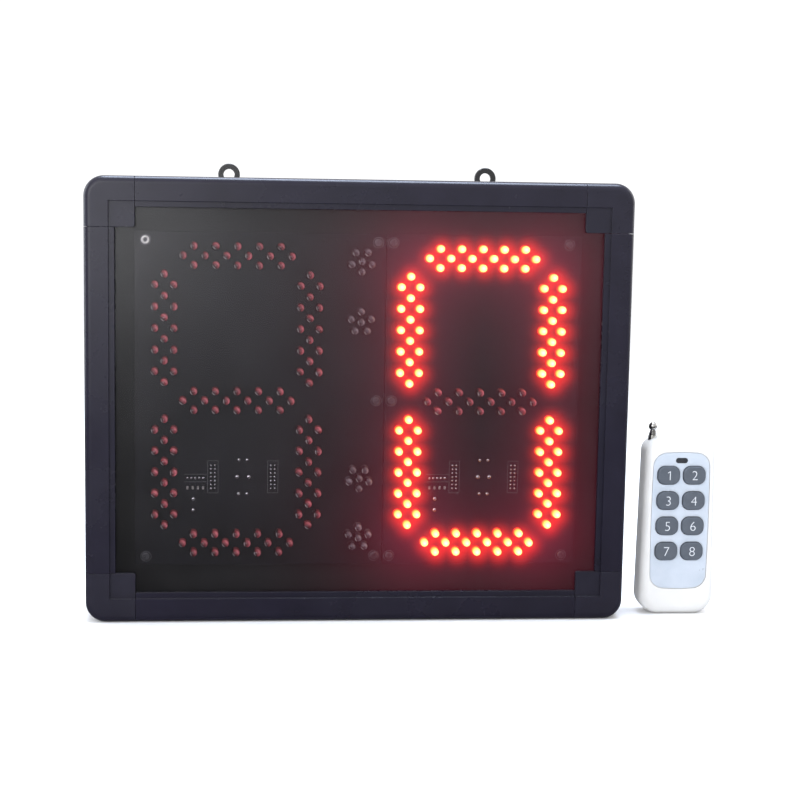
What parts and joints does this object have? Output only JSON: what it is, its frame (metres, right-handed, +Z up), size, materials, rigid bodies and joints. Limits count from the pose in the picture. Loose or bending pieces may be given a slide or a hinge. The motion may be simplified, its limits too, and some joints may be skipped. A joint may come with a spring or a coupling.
{
  "type": "gym round timer",
  "caption": "LED round timer display in a slim black wall-hanging case with hanging eyes, and its white push-button radio remote.",
  "frame": {"origin": "middle of the display's underside, where its bottom bar stands", "axes": "+Z up, display and remote face -Y, +X towards the remote"},
  "size_m": [0.4173, 0.0502, 0.296],
  "materials": {
    "frame_powder_coat": "satin black powder coat",
    "corner_plastic": "satin black moulded plastic",
    "smoked_acrylic": "smoked transparent acrylic",
    "display_board": "black solder mask",
    "led_lit": "lit red LED",
    "led_dark": "unlit red LED",
    "led_clear": "clear LED",
    "header_plastic": "black connector plastic",
    "chip_plastic": "epoxy",
    "capacitor_sleeve": "shrink sleeve",
    "zinc_steel": "zinc plated",
    "black_screw": "black oxide",
    "back_sheet": "fine textured black powder coat",
    "hanger_steel": "black painted steel",
    "green_board": "green solder mask",
    "copper_wire": "enamelled copper",
    "buzzer_plastic": "moulded",
    "jack_plastic": "moulded",
    "lead_insulation": "soft vinyl",
    "ribbon_vinyl": "grey vinyl",
    "remote_shell": "white satin moulded plastic",
    "remote_plate": "pale silver lacquer",
    "remote_button_rubber": "dark grey keycap",
    "window_lens": "smoked lens",
    "battery_wrap": "printed wrap",
    "spring_metal": "nickel plated",
    "antenna_chrome": "bright chrome"
  },
  "bodies": {
    "display": {"frame_left": "frame_powder_coat", "frame_right": "frame_powder_coat", "frame_top": "frame_powder_coat", "frame_bottom": "frame_powder_coat", "corner_cover_top_left": "corner_plastic", "corner_cover_top_right": "corner_plastic", "corner_cover_bottom_left": "corner_plastic", "corner_cover_bottom_right": "corner_plastic", "corner_keys": "corner_plastic", "front_panel": "smoked_acrylic", "led_board_left": "display_board", "led_board_right": "display_board", "tens_digit_leds": "led_dark", "units_digit_leds": "led_lit", "units_middle_segment_leds": "led_dark", "colon_leds": "led_clear", "ribbon_headers": "header_plastic", "driver_chips": "chip_plastic", "board_capacitors": "capacitor_sleeve", "board_standoffs": "zinc_steel", "board_screws": "zinc_steel", "back_plate": "back_sheet", "back_plate_screws": "black_screw", "standoff_screws": "black_screw", "hanger_screws": "zinc_steel", "controller_board": "green_board", "microcontroller": "chip_plastic", "voltage_regulator": "chip_plastic", "rf_receiver_module": "green_board", "receiver_antenna": "copper_wire", "buzzer": "buzzer_plastic", "power_jack": "jack_plastic", "jack_nut": "zinc_steel", "power_leads": "lead_insulation", "ribbon_cable": "ribbon_vinyl"},
    "hanger_left": {"hanger_left": "hanger_steel"},
    "hanger_right": {"hanger_right": "hanger_steel"},
    "remote": {"remote_front_shell": "remote_shell", "remote_back_shell": "remote_shell", "remote_screws": "zinc_steel", "remote_faceplate": "remote_plate", "remote_led_window": "window_lens", "remote_circuit_board": "green_board", "remote_switch_domes": "spring_metal", "remote_encoder_chip": "chip_plastic", "remote_battery": "battery_wrap", "remote_battery_contacts": "spring_metal", "remote_antenna_sleeve": "spring_metal"},
    "remote_battery_cover": {"remote_battery_cover": "remote_shell"},
    "remote_antenna_stage_1": {"remote_antenna_stage_1": "antenna_chrome"},
    "remote_antenna_stage_2": {"remote_antenna_stage_2": "antenna_chrome"},
    "remote_antenna_tip": {"remote_antenna_tip": "antenna_chrome"},
    "remote_button_1": {"remote_button_1": "remote_button_rubber"},
    "remote_button_2": {"remote_button_2": "remote_button_rubber"},
    "remote_button_3": {"remote_button_3": "remote_button_rubber"},
    "remote_button_4": {"remote_button_4": "remote_button_rubber"},
    "remote_button_5": {"remote_button_5": "remote_button_rubber"},
    "remote_button_6": {"remote_button_6": "remote_button_rubber"},
    "remote_button_7": {"remote_button_7": "remote_button_rubber"},
    "remote_button_8": {"remote_button_8": "remote_button_rubber"}
  },
  "joints": [
    {"name": "hanger_left_pivot", "type": "hinge", "parent": "display", "child": "hanger_left", "pos_m": [-0.085, 0.0243, 0.272], "axis": [0, 1, 0], "range_deg": [-180, 180]},
    {"name": "hanger_right_pivot", "type": "hinge", "parent": "display", "child": "hanger_right", "pos_m": [0.085, 0.0243, 0.272], "axis": [0, 1, 0], "range_deg": [-180, 180]},
    {"name": "remote_pick_up", "type": "slide", "parent": "display", "child": "remote", "axis": [0, 0, 1], "range_m": [0, 0.15]},
    {"name": "remote_button_1_press", "type": "slide", "parent": "remote", "child": "remote_button_1", "axis": [0, 1, 0], "range_m": [0, 0.0008], "stiffness_N_per_m": 800},
    {"name": "remote_button_2_press", "type": "slide", "parent": "remote", "child": "remote_button_2", "axis": [0, 1, 0], "range_m": [0, 0.0008], "stiffness_N_per_m": 800},
    {"name": "remote_button_3_press", "type": "slide", "parent": "remote", "child": "remote_button_3", "axis": [0, 1, 0], "range_m": [0, 0.0008], "stiffness_N_per_m": 800},
    {"name": "remote_button_4_press", "type": "slide", "parent": "remote", "child": "remote_button_4", "axis": [0, 1, 0], "range_m": [0, 0.0008], "stiffness_N_per_m": 800},
    {"name": "remote_button_5_press", "type": "slide", "parent": "remote", "child": "remote_button_5", "axis": [0, 1, 0], "range_m": [0, 0.0008], "stiffness_N_per_m": 800},
    {"name": "remote_button_6_press", "type": "slide", "parent": "remote", "child": "remote_button_6", "axis": [0, 1, 0], "range_m": [0, 0.0008], "stiffness_N_per_m": 800},
    {"name": "remote_button_7_press", "type": "slide", "parent": "remote", "child": "remote_button_7", "axis": [0, 1, 0], "range_m": [0, 0.0008], "stiffness_N_per_m": 800},
    {"name": "remote_button_8_press", "type": "slide", "parent": "remote", "child": "remote_button_8", "axis": [0, 1, 0], "range_m": [0, 0.0008], "stiffness_N_per_m": 800},
    {"name": "remote_antenna_stage_1_slide", "type": "slide", "parent": "remote", "child": "remote_antenna_stage_1", "axis": [0, 0, 1], "range_m": [0, 0.052]},
    {"name": "remote_antenna_stage_2_slide", "type": "slide", "parent": "remote_antenna_stage_1", "child": "remote_antenna_stage_2", "axis": [0, 0, 1], "range_m": [0, 0.052]},
    {"name": "remote_antenna_tip_slide", "type": "slide", "parent": "remote_antenna_stage_2", "child": "remote_antenna_tip", "axis": [0, 0, 1], "range_m": [0, 0.052]},
    {"name": "remote_battery_cover_unclip", "type": "slide", "parent": "remote", "child": "remote_battery_cover", "axis": [0, 1, 0], "range_m": [0, 0.02]}
  ]
}
